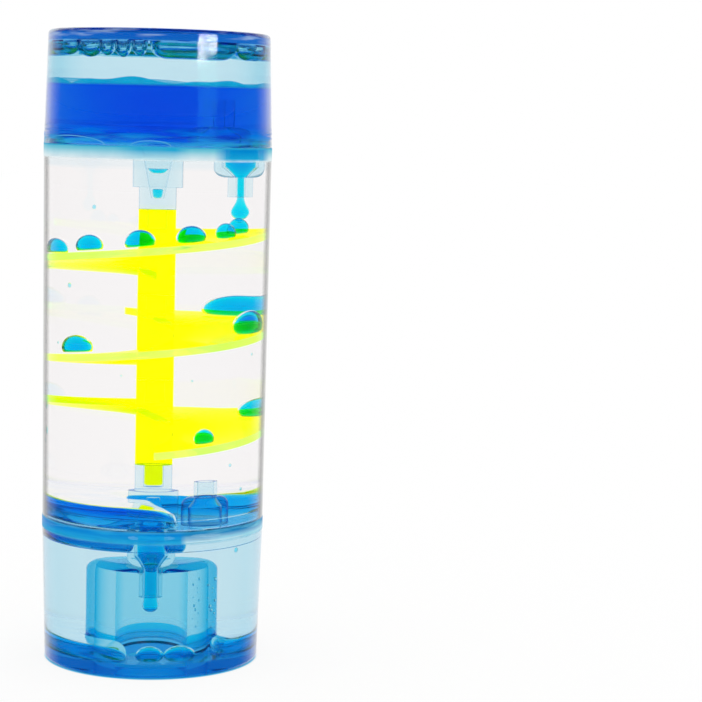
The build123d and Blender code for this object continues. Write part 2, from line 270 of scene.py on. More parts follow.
def glow_streaks(m, low, high, colour, strength, sparse=0.42):
    """Level streaks of painted light of a colour on the outside between two levels; a higher sparse leaves
    fewer of them.
    """
    flattened = m.node("VectorMath", {0: m.position, 1: STREAK_FLATTENING}, operation="MULTIPLY")
    inputs = {"Vector": flattened.outputs["Vector"], "Scale": 1 / STREAK_LENGTH, "Detail": 2.0}
    grain = m.node("TexNoise", inputs).outputs["Fac"]
    drawn = m.ramp(grain, sparse, sparse + STREAK_CONTRAST)
    begins = m.ramp(m.z, low - STREAKS_FADE_IN, low)
    ends = m.ramp(m.z, high - STREAKS_FADE_OUT, high, 1.0, 0.0)
    outside = m.above(m.radius, OUTSIDE)
    m.paint_glow(m.math("MULTIPLY", m.all_of(drawn, begins, ends, outside), strength), colour)


def liquid(name, transmitted, length, edge=None):
    """Dyed water in oil; over the edge level, where it thins out along a wall, its skin gets a painted glow.
    """
    m = Material(name)
    tone = m.blend(m.ramp(m.noise(4 * MM), 0.3, 0.7), (1, 1, 1), (0.9, 0.95, 1))
    body = m.node("BsdfGlass", {"Color": tone, "Roughness": 0.0, "IOR": BLUE_IN_OIL})
    m.surface(body.outputs["BSDF"])
    if edge:
        thin = m.ramp(m.z, edge - 0.1 * MM, edge + 0.5 * MM)
        edge_glow_share = m.ramp(m.noise(3 * MM), 0.35, 0.65, 0.6, 0.9)
        m.paint_glow(m.math("MULTIPLY", thin, edge_glow_share), POOL_EDGE_GLOW)
    m.absorb(transmitted, length)
    return m.material


def dress(name, material):
    """Give a CAD node its material."""
    data = nodes[name].data
    data.materials.clear()
    data.materials.append(material)


# Clear tube: air outside, oil inside, glued at both ends
tube = Material("clear_tube")
tube_outside = tube.above(tube.radius, TUBE_MIDDLE)
tube_end = tube.above(tube.level, LEVEL_FACE)
tube_ior = tube.pick(tube_end, tube.pick(tube_outside, PLASTIC_IN_OIL, PLASTIC_IN_AIR), GLUED)
# Painted shade: the clear tube darkens to grey where its surface turns away
tube_shaded_tint = edge_shaded_tint(tube, (0.99, 0.987, 0.987), (0.18, 0.175, 0.17), start=0.66, end=0.76)
clear_plastic(tube, tube_ior, tube_shaded_tint)
joint_lines(tube, strength=0.7)
tube.absorb((0.968, 0.962, 0.963), 2 * TUBE_WALL)
dress("main_tube", tube.material)

# Top cup: the lid looks deeper than the wall because it is seen edge on; its deeper blue is painted shade in
# its colour
top_cup = Material("top_cup_blue")
top_wall = top_cup.ramp(
    top_cup.z, TOP_CUP_FOOT, HEIGHT, HEAD_RADIUS - CUP_WALL / 2, HEAD_RADIUS - CUP_DRAFT - CUP_WALL / 2
)
top_outside = top_cup.any_of(
    top_cup.above(top_cup.radius, top_wall), top_cup.above(top_cup.z, HEIGHT - LID / 2)
)
top_end = top_cup.all_of(
    top_cup.below(top_cup.z, TOP_CUP_FOOT + END_SKIN), top_cup.above(top_cup.level, LEVEL_FACE)
)
top_ior = top_cup.pick(top_end, top_cup.pick(top_outside, PLASTIC_IN_OIL, PLASTIC_IN_AIR), GLUED)
in_lid = top_cup.ramp(top_cup.z, HEIGHT - LID - 0.3 * MM, HEIGHT - LID + 0.3 * MM)
# Painted shade: the wall deepens to cyan and the lid to a darker blue where the surface turns away
wall_shaded_tint = edge_shaded_tint(top_cup, (0.955, 0.97, 0.975), (0.42, 0.79, 0.87), start=0.25, end=0.95)
lid_shaded_tint = edge_shaded_tint(top_cup, (0.5, 0.72, 0.97), (0.3, 0.5, 0.8))
clear_plastic(top_cup, top_ior, top_cup.blend(in_lid, wall_shaded_tint, lid_shaded_tint))
joint_lines(top_cup, strength=0.95, least=0.9)
# Streaks of painted blue light over the foot of the cup, deeper higher up
foot_share = top_cup.ramp(top_cup.z, TOP_CUP_FOOT + 1 * MM, TOP_CUP_FOOT + 3 * MM)
foot_glow_blue = top_cup.blend(foot_share, (0.03, 0.4, 0.66), (0.0, 0.22, 0.76))
glow_streaks(top_cup, TOP_CUP_FOOT, TOP_CUP_FOOT + 5 * MM, foot_glow_blue, strength=0.7)
# Painted highlight: pale streaks of light along the lid's top edge
glow_streaks(top_cup, HEIGHT - 1.5 * MM, HEIGHT + 1.5 * MM, (0.72, 0.9, 0.97), strength=0.5, sparse=0.5)
top_cup.absorb((0.66, 0.87, 0.95), 2 * CUP_WALL)
dress("top_cup", top_cup.material)

# Bottom cup: oil inside, air outside and in the recess under the boss
bottom_cup = Material("bottom_cup_blue")
bottom_wall = bottom_cup.ramp(
    bottom_cup.z, 0.0, BOTTOM_CUP_HEAD, FOOT_RADIUS - CUP_DRAFT - CUP_WALL / 2, FOOT_RADIUS - CUP_WALL / 2
)
bottom_wet = bottom_cup.all_of(
    bottom_cup.below(bottom_cup.radius, bottom_wall), bottom_cup.above(bottom_cup.z, FLOOR / 2),
    bottom_cup.any_of(
        bottom_cup.above(bottom_cup.radius, BOSS_RADIUS - BOSS_WALL / 2),
        bottom_cup.above(bottom_cup.z, BOSS_HEAD - BOSS_WALL / 2),
    ),
)
bottom_end = bottom_cup.all_of(
    bottom_cup.above(bottom_cup.z, BOTTOM_CUP_HEAD - END_SKIN),
    bottom_cup.above(bottom_cup.level, LEVEL_FACE),
)
bottom_open_ior = bottom_cup.pick(bottom_wet, PLASTIC_IN_AIR, PLASTIC_IN_OIL)
bottom_ior = bottom_cup.pick(bottom_end, bottom_open_ior, GLUED)
in_boss = bottom_cup.all_of(
    bottom_cup.ramp(bottom_cup.radius, BOSS_RADIUS + 0.1 * MM, BOSS_RADIUS + 0.4 * MM, 1.0, 0.0),
    bottom_cup.ramp(bottom_cup.z, FLOOR, FLOOR + 1 * MM),
)
# Painted shade: the shell, the boss and the cup's floor deepen where the surface turns away
shell_shaded_tint = edge_shaded_tint(bottom_cup, (0.965, 0.968, 0.972), (0.6, 0.75, 0.85))
boss_shaded_tint = edge_shaded_tint(bottom_cup, (0.86, 0.965, 0.985), (0.06, 0.78, 0.94), start=0.35, end=0.85)
bottom_shaded_tint = bottom_cup.blend(in_boss, shell_shaded_tint, boss_shaded_tint)
in_floor = bottom_cup.ramp(bottom_cup.z, FLOOR - 0.3 * MM, FLOOR + 0.3 * MM, 1.0, 0.0)
cup_floor_shaded_tint = edge_shaded_tint(bottom_cup, (0.6, 0.85, 0.985), (0.4, 0.72, 0.9))
bottom_shaded_tint = bottom_cup.blend(in_floor, bottom_shaded_tint, cup_floor_shaded_tint)
clear_plastic(bottom_cup, bottom_ior, bottom_shaded_tint)
joint_lines(bottom_cup, strength=0.35)
bottom_cup.absorb((0.66, 0.88, 0.955), 2 * CUP_WALL)
dress("bottom_cup", bottom_cup.material)

# Zones of the partitions: the bell of the upright nozzle and the skin of the lower plate. Arcs of the painted
# glow
# on the upper rim, in degrees: the start, the two ends of the full part, and the end. On the lower rim the
# pool's arc of painted glow fades
BELL_HEIGHT = 6.4 * MM
BELL_NEAR = 8 * MM
BELL_FAR = 19 * MM
PLATE_SKIN = 0.1 * MM
POST_ARC = (-112, -99, -82, -74)
NOZZLE_ARC = (-62, -55, -26, -16)
POOL_FULL_TO = -76
POOL_END = -73


def on_arc(m, start, full_from, full_to, end):
    """1 on the full part of an arc round the main axis, less towards its ends, 0 elsewhere."""
    begins = m.ramp(m.angle, math.radians(start), math.radians(full_from))
    ends = m.ramp(m.angle, math.radians(full_to), math.radians(end), 1.0, 0.0)
    return m.all_of(begins, ends)


# Partitions: the rim in the air, its two faces glued, the rest in oil
partition = Material("partition_blue")
in_rim = partition.above(partition.radius, TUBE_MIDDLE)
rim_ior = partition.pick(partition.above(partition.level, LEVEL_FACE), PLASTIC_IN_AIR, GLUED)
partition_ior = partition.pick(in_rim, PLASTIC_IN_OIL, rim_ior)
in_bell = partition.all_of(
    partition.above(partition.z, TUBE_FOOT), partition.below(partition.z, TUBE_FOOT + BELL_HEIGHT),
    partition.above(partition.radius, BELL_NEAR), partition.below(partition.radius, BELL_FAR),
)
in_ring = partition.above(partition.radius, RING_INSIDE)
on_plate = partition.all_of(
    partition.above(partition.z, TUBE_FOOT - PLATE_SKIN),
    partition.below(partition.z, TUBE_FOOT + PLATE_SKIN),
    partition.below(partition.radius, RING_INSIDE),
)
in_drip = partition.all_of(
    partition.below(partition.z, BOTTOM_CUP_HEAD), partition.below(partition.radius, RING_INSIDE)
)
# Painted shade: the post, the bell and the drip zone deepen where the surface turns away
post_shaded_tint = edge_shaded_tint(partition, (0.925, 0.975, 0.986), (0.55, 0.75, 0.88))
bell_shaded_tint = edge_shaded_tint(partition, (0.91, 0.97, 0.987), (0.08, 0.42, 0.75), start=0.4, end=0.8)
drip_shaded_tint = edge_shaded_tint(partition, (0.84, 0.955, 0.983), (0.45, 0.78, 0.9))
partition_shaded_tint = partition.blend(in_ring, post_shaded_tint, (0.997, 0.998, 0.999))
partition_shaded_tint = partition.blend(in_bell, partition_shaded_tint, bell_shaded_tint)
partition_shaded_tint = partition.blend(in_drip, partition_shaded_tint, drip_shaded_tint)
partition_shaded_tint = partition.blend(on_plate, partition_shaded_tint, (0.3, 0.74, 0.94))
clear_plastic(partition, partition_ior, partition_shaded_tint)
# Painted light on the rims: a glow, pale, teal and deep blue by arc and level, for the blue light the rims
# carry from the pools
is_upper = partition.above(partition.z, HEIGHT / 2)
by_post = on_arc(partition, *POST_ARC)
by_nozzle = on_arc(partition, *NOZZLE_ARC)
upper_share = partition.ramp(partition.z, TUBE_HEAD + 0.3 * MM, TOP_CUP_FOOT - 0.5 * MM)
upper_pale = partition.blend(upper_share, (0.74, 0.86, 0.88), (0.16, 0.56, 0.68))
upper_teal = partition.blend(upper_share, (0.5, 0.77, 0.83), (0.01, 0.38, 0.64))
upper_deep = partition.blend(upper_share, (0.01, 0.4, 0.68), (0.0, 0.24, 0.62))
upper_glow = partition.blend(by_nozzle, partition.blend(by_post, upper_pale, upper_teal), upper_deep)
by_pool = partition.ramp(partition.angle, math.radians(POOL_FULL_TO), math.radians(POOL_END), 1.0, 0.0)
lower_share = partition.ramp(partition.z, BOTTOM_CUP_HEAD + 0.4 * MM, TUBE_FOOT - 0.6 * MM)
lower_pale = partition.blend(lower_share, (0.5, 0.78, 0.88), (0.01, 0.24, 0.52))
lower_deep = partition.blend(lower_share, (0.01, 0.36, 0.7), (0.0, 0.24, 0.68))
lower_glow = partition.blend(by_pool, lower_pale, lower_deep)
rim_glow_share = partition.ramp(partition.noise(7 * MM), 0.35, 0.7, 0.7, 0.92)
partition.paint_glow(partition.all_of(in_rim, rim_glow_share), partition.blend(is_upper, lower_glow, upper_glow))
# Streaks of painted light on the lower rim, deeper blue by the pool
lower_glow_streak = partition.blend(by_pool, (0.25, 0.66, 0.78), (0.02, 0.42, 0.76))
glow_streaks(
    partition, BOTTOM_CUP_HEAD + 0.4 * MM, TUBE_FOOT + 1.7 * MM, lower_glow_streak, strength=0.6, sparse=0.48
)
joint_lines(partition, strength=0.4)
partition.absorb((0.87, 0.955, 0.983), 2 * CUP_WALL)
dress("top_partition", partition.material)
dress("bottom_partition", partition.material)

# Spiral pieces: yellow acrylic with a painted glow, faint all over and lime at the rim of the ramps
yellow = Material("yellow_acrylic")
ramp_rim = yellow.ramp(yellow.radius, RAMP_RADIUS - 0.8 * MM, RAMP_RADIUS - 0.1 * MM)
ramp_rim = yellow.math("MULTIPLY", ramp_rim, yellow.ramp(yellow.noise(8 * MM), 0.3, 0.65, 0.6, 1.0))
yellow_glass = yellow.node("BsdfGlass", {
    "Color": yellow.blend(ramp_rim, (1, 1, 0.55), (0.82, 1, 0.6)), "Roughness": 0.0, "IOR": YELLOW_IN_OIL,
})
glow = yellow.node("Emission", {
    "Color": yellow.blend(ramp_rim, (0.1, 0.1, 0.0), (0.24, 0.4, 0.2)), "Strength": 0.9,
})
lit_yellow = yellow.node("AddShader", {0: yellow_glass.outputs["BSDF"], 1: glow.outputs["Emission"]})
yellow.surface(lit_yellow.outputs["Shader"])
yellow.absorb((0.975, 0.99, 0.006), 1.6 * MM)
for number in (1, 2, 3):
    dress(f"spiral_turn_{number}", yellow.material)

# Milky stopper
stopper = Material("milky_stopper")
stopper_body = stopper.node("BsdfPrincipled", {
    "Base Color": stopper.blend(stopper.noise(1.5 * MM), (0.75, 0.82, 0.86), (0.86, 0.9, 0.92)),
    "Roughness": 0.45, "Transmission Weight": 0.4,
})
stopper.surface(stopper_body.outputs["BSDF"])
# Painted light: patches of an even blue glow over the stopper
stopper.paint_glow(stopper.ramp(stopper.noise(2 * MM), 0.3, 0.7, 0.4, 0.5), (0.35, 0.72, 0.85))
dress("filler_plug", stopper.material)

# Liquids: shares of red, green and blue that pass a length of each
pool_low, pool_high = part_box("upper_blue_pool")
POOL_HEAD = pool_high.z - 0.9 * MM
pool_blue = liquid("pool_blue", (0.00005, 0.12, 0.88), 40 * MM, POOL_HEAD)
middle_blue = liquid("middle_blue", (0.0001, 0.31, 0.91), 25 * MM)
base_blue = liquid("base_blue", (0.0002, 0.53, 0.955), 25 * MM)
drop_blue = liquid("drop_blue", (0.00001, 0.64, 0.96), 5 * MM)
thread_blue = liquid("thread_blue", (0.00001, 0.77, 0.97), 2.2 * MM)
film_blue = liquid("film_blue", (0.001, 0.24, 0.68), 3 * MM)

# Air bubbles
air = Material("air_bubble")
air_tone = air.blend(air.ramp(air.noise(2 * MM), 0.3, 0.7), (0.32, 0.7, 0.84), (0.7, 0.93, 0.97))
air.surface(air.node("BsdfGlass", {"Color": air_tone, "Roughness": 0.0, "IOR": AIR_IN_OIL}).outputs["BSDF"])
bubble_air = air.material


def piece(name, points, faces, material, body="shell", stands_for=(), slot="blue_liquid"):
    """Smooth closed mesh that rides a body."""
    mesh = bpy.data.meshes.new(name)
    mesh.from_pydata(points, [], faces)
    mesh.update()
    clean = bmesh.new()
    clean.from_mesh(mesh)
    bmesh.ops.recalc_face_normals(clean, faces=clean.faces)
    clean.to_mesh(mesh)
    clean.free()
    for polygon in mesh.polygons:
        polygon.use_smooth = True
    mesh.materials.append(material)
    made = bpy.data.objects.new(name, mesh)
    bpy.context.scene.collection.objects.link(made)
    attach(made, body)
    if stands_for:
        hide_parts(*stands_for)


def closed_rows(rows):
    """Points and faces of a closed skin: rows of points, the first and last drawn together at a pole."""
    count = len(rows[0])
    points = [sum((Vector(p) for p in rows[0]), Vector()) / count]
    for row in rows:
        points += row
    points.append(sum((Vector(p) for p in rows[-1]), Vector()) / count)
    faces = []
    for i in range(count):
        after = (i + 1) % count
        faces.append((0, 1 + after, 1 + i))
        for level in range(len(rows) - 1):
            low = 1 + level * count
            faces.append((low + i, low + after, low + count + after, low + count + i))
        last = 1 + (len(rows) - 1) * count
        faces.append((last + i, last + after, len(points) - 1))
    return points, faces


def together(skins):
    """Points and faces of several closed skins as one mesh."""
    points, faces = [], []
    for more, skin in skins:
        faces += [tuple(number + len(points) for number in face) for face in skin]
        points += more
    return points, faces


def outward(angle):
    """Level direction at an angle in degrees round the main axis."""
    return Vector((math.cos(math.radians(angle)), math.sin(math.radians(angle)), 0))


def turned_rows(profile, steps=96, centre=Vector(), rise=None):
    """Rows of a turned form from (radius, height) points; rise(angle, radius, height) lifts points."""
    rows = []
    for radius, height in profile:
        row = []
        for i in range(steps):
            angle = 360 * i / steps
            lift = rise(angle, radius, height) if rise else 0.0
            row.append(centre + outward(angle) * radius + Vector((0, 0, height + lift)))
        rows.append(row)
    return rows


def rounded(radius, height, corner, steps=6):
    """(radius, height) points of a quarter round at an upper outer corner."""
    turns = [math.pi / 2 * i / steps for i in range(steps + 1)]
    return [(radius - corner + corner * math.cos(t), height - corner + corner * math.sin(t)) for t in turns]


def apart(angle, other):
    """Degrees from one angle to another, -180 to 180."""
    return (angle - other + 180) % 360 - 180


# Upper pool: its wavy edge climbs the wall. Waves have a height in mm, a count and a phase, and notches an
# angle and a width in degrees
POOL_WALL = pool_high.x - 0.45 * MM
POOL_FLOOR = TOP_CUP_FOOT + 0.03 * MM
POOL_CORNER = 0.1 * MM
SKIRT = 1.2 * MM
SKIRT_ROUND = 0.35 * MM
SKIRT_TOP = 0.5 * MM
SKIRT_WIDTH = 7 * MM
SKIRT_CURVE = 1.6
SKIRT_STEPS = 10
SKIRT_WAVES = ((0.35, 3, 0.6), (0.4, 7, 2.0), (0.4, 13, 0.0))
SKIRT_NOTCHES = ((-144.0, 5.0), (-81.0, 9.0), (40.0, 7.0))
NOTCH_DEPTH = 1.3
CALM_PART = 0.6
STILL_HEIGHT = 0.5


def pool_waves(angle, radius, height):
    """Lift of the pool's skin: waves along its upper edge, with a few notches."""
    share = max(0.0, (height - POOL_FLOOR) / (POOL_HEAD - POOL_FLOOR) - STILL_HEIGHT)
    near_wall = max(0.0, radius / POOL_WALL - CALM_PART) / (1 - CALM_PART)
    turn = math.radians(angle)
    wave = sum(size * math.sin(count * turn + phase) for size, count, phase in SKIRT_WAVES)
    for middle, width in SKIRT_NOTCHES:
        wave -= NOTCH_DEPTH * math.exp(-(apart(angle, middle) / width) ** 2)
    return MM * wave * near_wall ** 2 * share


pool_profile = [(share * POOL_WALL, POOL_FLOOR) for share in (0.15, 0.5, 0.8, 0.995)]
pool_profile += [(POOL_WALL, POOL_FLOOR + POOL_CORNER), (POOL_WALL, (POOL_FLOOR + POOL_HEAD) / 2)]
pool_profile += rounded(POOL_WALL, POOL_HEAD + SKIRT, SKIRT_ROUND, 4)
for i in range(1, SKIRT_STEPS + 1):
    slope = i / SKIRT_STEPS
    climb = SKIRT * (1 - slope) ** SKIRT_CURVE
    pool_profile.append((POOL_WALL - SKIRT_TOP - SKIRT_WIDTH * slope, POOL_HEAD + climb))
pool_profile += [(share * POOL_WALL, POOL_HEAD) for share in (0.5, 0.25)]
pool_rows = turned_rows(pool_profile, 240, rise=pool_waves)
piece("upper_pool", *closed_rows(pool_rows), pool_blue, "shell", ("upper_blue_pool",))


def wire_rows(centres, half, steps=10):
    """Rows of a thin round wire along points that lie on an upright wall."""
    rows = []
    for number, place in enumerate(centres):
        before = centres[max(number - 1, 0)]
        after = centres[min(number + 1, len(centres) - 1)]
        along = (after - before).normalized()
        out = Vector((place.x, place.y, 0)).normalized()
        across = along.cross(out).normalized()
        turns = [2 * math.pi * k / steps for k in range(steps)]
        rows.append([place + (out * math.cos(t) + across * math.sin(t)) * half for t in turns])
    return rows


# Edges of two oil domes under the pool, against the front wall: middle angle, half angle, height
OIL_DOMES = ((-143.0, 24.0, 1.9 * MM), (-94.0, 10.5, 1.2 * MM))
DOME_FOOT = TOP_CUP_FOOT + 0.25 * MM
DOME_LINE = 0.09 * MM
DOME_STEPS = 40
DOME_DISTANCE = POOL_WALL + 0.25 * MM
# Painted highlight: each dome edge is a thin wire that glows in a blue tone
oil_edge_highlight = Material("oil_edge_highlight")
oil_highlight_tone = oil_edge_highlight.blend(oil_edge_highlight.noise(3 * MM), (0.12, 0.55, 0.9), (0.45, 0.88, 0.98))
oil_glow = oil_edge_highlight.node("Emission", {"Color": oil_highlight_tone, "Strength": 0.8}).outputs["Emission"]
oil_glass = oil_edge_highlight.node("BsdfTransparent", {"Color": (0.8, 0.95, 1, 1)}).outputs["BSDF"]
oil_edge_highlight.surface(oil_edge_highlight.layer(0.6, oil_glass, oil_glow))
skins = []
for middle, half_angle, dome in OIL_DOMES:
    arch = []
    for i in range(DOME_STEPS + 1):
        turn = math.pi * i / DOME_STEPS
        wall = outward(middle - half_angle * math.cos(turn)) * DOME_DISTANCE
        arch.append(wall + UP * (DOME_FOOT + dome * math.sin(turn)))
    skins.append(closed_rows(wire_rows(arch, DOME_LINE)))
piece("oil_dome_edges", *together(skins), oil_edge_highlight.material)


def loose_parts(name):
    """Points of each separate solid of a CAD node."""
    copy = bmesh.new()
    copy.from_mesh(nodes[name].data)
    bmesh.ops.remove_doubles(copy, verts=copy.verts, dist=0.001 * MM)
    reached = set()
    groups = []
    for start in copy.verts:
        if start in reached:
            continue
        reached.add(start)
        front = [start]
        group = []
        while front:
            vertex = front.pop()
            group.append(vertex.co.copy())
            for edge in vertex.link_edges:
                other = edge.other_vert(vertex)
                if other not in reached:
                    reached.add(other)
                    front.append(other)
        groups.append(group)
    copy.free()
    return sorted(groups, key=lambda group: min(p.z for p in group))


# Drops: how much is left of the height below the flat level, how much wider they are below their middle,
# and the flat level of those on the ramps
FOOT_SQUASH = 0.12
LOW_BULGE = 0.1
RAMP_DROP_FLAT = 0.5


def drop_skin(foot, upright, out, half, height, steps=48, levels=24, flat=0.72):
    """Skin of a drop that sits on a plane: wetted flat below, widest a little under its middle. The smaller
    the flat level, the wider its foot."""
    sideways = upright.cross(out)
    sunk = flat + (1 - flat) * FOOT_SQUASH
    rows = []
    for i in range(1, levels):
        turn = math.pi * i / levels
        level = -math.cos(turn)
        lift = level if level > -flat else -flat + (level + flat) * FOOT_SQUASH
        lift = (lift + sunk) / (1 + sunk)
        spread = half * math.sin(turn) * (1 + LOW_BULGE * math.cos(turn))
        around = [2 * math.pi * k / steps for k in range(steps)]
        middle = foot + upright * (lift * height)
        rows.append([middle + (out * math.cos(a) + sideways * math.sin(a)) * spread for a in around])
    return closed_rows(rows)


def ramp_drop_skin(group):
    """Skin of a drop on a ramp, where its solid is."""
    middle = sum(group, Vector()) / len(group)
    distance = math.hypot(middle.x, middle.y)
    out = Vector((middle.x, middle.y, 0)).normalized()
    along = Vector((-out.y, out.x, RAMP_LEAD / (2 * math.pi * distance))).normalized()
    upright = out.cross(along)
    heights = [p.dot(upright) for p in group]
    spans = [(p - middle).dot(along) for p in group]
    foot = middle - upright * (middle.dot(upright) - min(heights))
    half = (max(spans) - min(spans)) / 2
    return drop_skin(foot, upright, out, half, max(heights) - min(heights), flat=RAMP_DROP_FLAT)


for number in (1, 2, 3):
    node = f"ramp_{number}_drops"
    skins = [ramp_drop_skin(group) for group in loose_parts(node)]
    piece(f"drops_on_ramp_{number}", *together(skins), drop_blue, "ramp_drops", (node,))


# Hanging drops: steps of the ball and of the neck, and the curve of the neck
BALL_STEPS = 16
NECK_STEPS = 12
NECK_CURVE = 1.6


def hanging_rows(node, neck, ball, top, draw):
    """Rows of a drop that hangs by its neck: a ball, kept up to the share draw of a half turn, that draws
    out upwards to the neck."""
    low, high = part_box(node)
    centre = Vector(((low.x + high.x) / 2, (low.y + high.y) / 2, 0))
    turns = [math.pi * draw * i / BALL_STEPS for i in range(1, BALL_STEPS + 1)]
    profile = [(ball * math.sin(t), low.z + ball - ball * math.cos(t)) for t in turns]
    wide, start = profile[-1]
    for i in range(1, NECK_STEPS + 1):
        share = i / NECK_STEPS
        ease = 1 - (1 - share) ** NECK_CURVE
        profile.append((wide + (neck - wide) * ease, start + (top - start) * share))
    return turned_rows(profile, 48, centre)


# Nozzles that drip: the liquid in their bowls and bores, and the drops that hang from them
NOZZLE_OFFSET = 13.4 * MM
BOWL_MOUTH = 3.1 * MM
TOP_BORE = 0.8 * MM
TOP_BOWL = 3.9 * MM
TOP_BOWL_STRAIGHT = 1.6 * MM
BOTTOM_BORE = 1.5 * MM
BOTTOM_BOWL = 6.4 * MM
BOTTOM_BOWL_STRAIGHT = 4.0 * MM
TOP_NOZZLE = 0.0
DOWN_NOZZLE = -91.0
TOP_BALL = 1.75 * MM
TOP_DRAW = 0.66
BOTTOM_BALL = 1.6 * MM
BOTTOM_DRAW = 0.6
NECK_GAP = 0.05 * MM
THREAD_END = 0.6
THREAD_FOOT_EDGE = 0.3 * MM
THREAD_MOUTH_EDGE = 0.2 * MM
middle_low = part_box("middle_blue_pool")[0]


def thread(name, angle, mouth, bowl, straight, bore, foot):
    """Liquid in a nozzle from its mouth down to its foot."""
    wide = BOWL_MOUTH - LIQUID_GAP
    narrow = bore - LIQUID_GAP
    profile = [
        (narrow * THREAD_END, foot), (narrow, foot), (narrow, foot + THREAD_FOOT_EDGE),
        (narrow, mouth - PLATE - bowl), (wide, mouth - PLATE - straight),
        (wide, mouth - THREAD_MOUTH_EDGE), (wide, mouth), (wide * THREAD_END, mouth),
    ]
    piece(name, *closed_rows(turned_rows(profile, 48, outward(angle) * NOZZLE_OFFSET)), thread_blue)


thread("thread_above", TOP_NOZZLE, TOP_CUP_FOOT, TOP_BOWL, TOP_BOWL_STRAIGHT, TOP_BORE, pool_low.z)
thread("thread_below", DOWN_NOZZLE, TUBE_FOOT, BOTTOM_BOWL, BOTTOM_BOWL_STRAIGHT, BOTTOM_BORE, middle_low.z)
above_rows = hanging_rows("upper_drop", TOP_BORE - LIQUID_GAP, TOP_BALL, pool_low.z - NECK_GAP, TOP_DRAW)
piece("falling_drop_above", *closed_rows(above_rows), drop_blue, "upper_drop", ("upper_drop",))
below_rows = hanging_rows(
    "lower_drop", BOTTOM_BORE - LIQUID_GAP, BOTTOM_BALL, middle_low.z - NECK_GAP, BOTTOM_DRAW
)
piece("falling_drop_below", *closed_rows(below_rows), drop_blue, "lower_drop", ("lower_drop",))

# Blue left in the hollow of the top post: radii and heights over its level, in mm
SLIVER_LEVEL = TUBE_HEAD - 2.6 * MM
SLIVER = ((0.6, -0.75), (1.2, -0.55), (1.55, 0.0), (1.62, 0.35), (1.1, 0.2), (0.5, 0.12))
BEAD_LEVEL = TUBE_HEAD - 7.8 * MM
BEAD = ((0.45, -1.05), (0.75, -0.7), (0.86, 0.0), (0.9, 0.75), (0.7, 0.95), (0.35, 1.0))
for name, level, section in (("post_sliver", SLIVER_LEVEL, SLIVER), ("post_bead", BEAD_LEVEL, BEAD)):
    profile = [(radius * MM, level + height * MM) for radius, height in section]
    piece(name, *closed_rows(turned_rows(profile, 48)), drop_blue)


# Section of a slug: its largest rounding, limits of its shoulder as shares of its height and width, the
# wetted share of its width, the level of its foot's edge, the rise over its step, and its crown. Along a nose
# the height goes with a power of the width, and the width's square has a least value
SLUG_CORNER = 1.6 * MM
SHOULDER_TALL = 0.9
SHOULDER_WIDE = 0.8
WETTED = 0.93
FOOT_EDGE = 0.12
STEP_RISE = 0.02
CROWN = ((0.15, 1.03), (0.0, 1.035), (-0.15, 1.03))
NOSE_POWER = 0.7
NOSE_LEAST = 0.0004


def slug_skin(start, end, inner, outer, foot, height, nose,
              step=0.0, inset=0.0, corner=SLUG_CORNER, steps=160):
    """Skin of liquid along an arc between two walls, with rounded noses at both ends; below the
    step it stands in from the outer wall. A negative height hangs it from above."""
    middle = (inner + outer) / 2
    half = (outer - inner) / 2
    length = math.radians(end - start) * middle
    rows = []
    for i in range(steps + 1):
        way = 0.5 - 0.5 * math.cos(math.pi * i / steps)
        out = outward(start + (end - start) * way)
        gap = min(way, 1 - way) * length
        full = 1.0 if gap >= nose else math.sqrt(max(1 - (1 - gap / nose) ** 2, NOSE_LEAST))
        tall = abs(height) * full ** NOSE_POWER
        wide = half * full
        round_off = min(SHOULDER_TALL * (tall - step * full), SHOULDER_WIDE * wide, corner)
        shoulder = rounded(wide, tall, round_off)
        low = wide - inset * full
        section = [(-wide / 2, 0), (low / 2, 0), (low * WETTED, 0), (low, FOOT_EDGE * tall)]
        if step:
            section += [(low, step * full), (wide, step * full + STEP_RISE * tall)]
        section += shoulder
        section += [(wide * across, tall * rise) for across, rise in CROWN]
        section += [(-r, h) for r, h in reversed(shoulder)]
        section += [(-wide, FOOT_EDGE * tall), (-wide * WETTED, 0)]
        side = 1 if height > 0 else -1
        rows.append([out * (middle + r) + Vector((0, 0, foot + side * h)) for r, h in section])
    return closed_rows(rows)


# Middle pool round the post: from the right by the back and the left to its nose at the front. Its foot
# stands in from the ring of the bottom partition
MIDDLE_START = -345.0
MIDDLE_END = -71.0
MIDDLE_HEIGHT = 5.0 * MM
MIDDLE_NOSE = 9 * MM
MIDDLE_GAP = 0.3 * MM
MIDDLE_STEP = RING_HEIGHT + 0.1 * MM
MIDDLE_INSET = RING_WALL + 0.2 * MM
piece("middle_pool", *slug_skin(
    MIDDLE_START, MIDDLE_END, COLLAR_RADIUS + MIDDLE_GAP, BORE_RADIUS - MIDDLE_GAP, TUBE_FOOT + LIQUID_GAP,
    MIDDLE_HEIGHT, MIDDLE_NOSE, MIDDLE_STEP, MIDDLE_INSET,
), middle_blue, "shell", ("middle_blue_pool",))

# Film of blue held under the bottom partition, inside its ring and on both sides of the nozzle's bowl
FILM_ARCS = ((-215.0, -101.0), (-83.5, -70.0))
FILM_INNER = 18.8 * MM
FILM_OUTER = 21.5 * MM
FILM_DEPTH = 2.2 * MM
FILM_NOSE = 1.2 * MM
FILM_HEAD = BOTTOM_CUP_HEAD - LIQUID_GAP
skins = []
for start, end in FILM_ARCS:
    skins.append(slug_skin(start, end, FILM_INNER, FILM_OUTER, FILM_HEAD, -FILM_DEPTH, FILM_NOSE))
piece("film_under_plate", *together(skins), film_blue)

